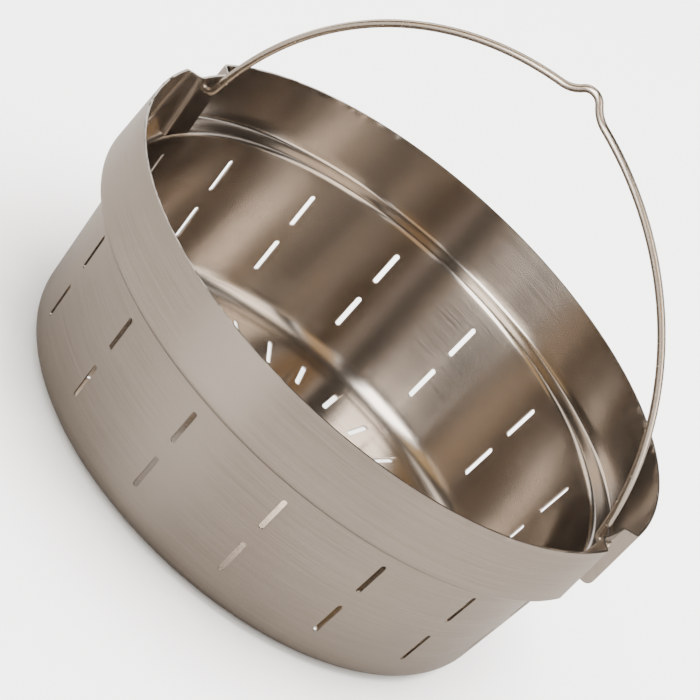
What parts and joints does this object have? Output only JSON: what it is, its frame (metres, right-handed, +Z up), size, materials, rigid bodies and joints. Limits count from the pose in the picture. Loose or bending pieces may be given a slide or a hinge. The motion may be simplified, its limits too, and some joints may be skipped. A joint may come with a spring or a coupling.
{
  "type": "perforated strainer basket",
  "caption": "Pressed steel strainer basket for a pressure canner, with a collar and ledge, slotted wall and bottom, and a folding wire bail with a finger hump.",
  "frame": {"origin": "middle of the flat bottom's underside", "axes": "+Z up out of the opening, X through both bail ears, the bail leans a little toward -Y at rest"},
  "size_m": [0.2184, 0.22, 0.1878],
  "materials": {
    "shell_steel": "satin, grain running around the pot",
    "wire_steel": "drawn wire, half bright"
  },
  "bodies": {
    "basket": {"basket_shell": "shell_steel"},
    "bail": {"bail": "wire_steel"}
  },
  "joints": [
    {"name": "bail_swing", "type": "hinge", "parent": "basket", "child": "bail", "pos_m": [0, 0, 0.0805], "axis": [1, 0, 0], "range_deg": [-103.5, 95.5]}
  ]
}
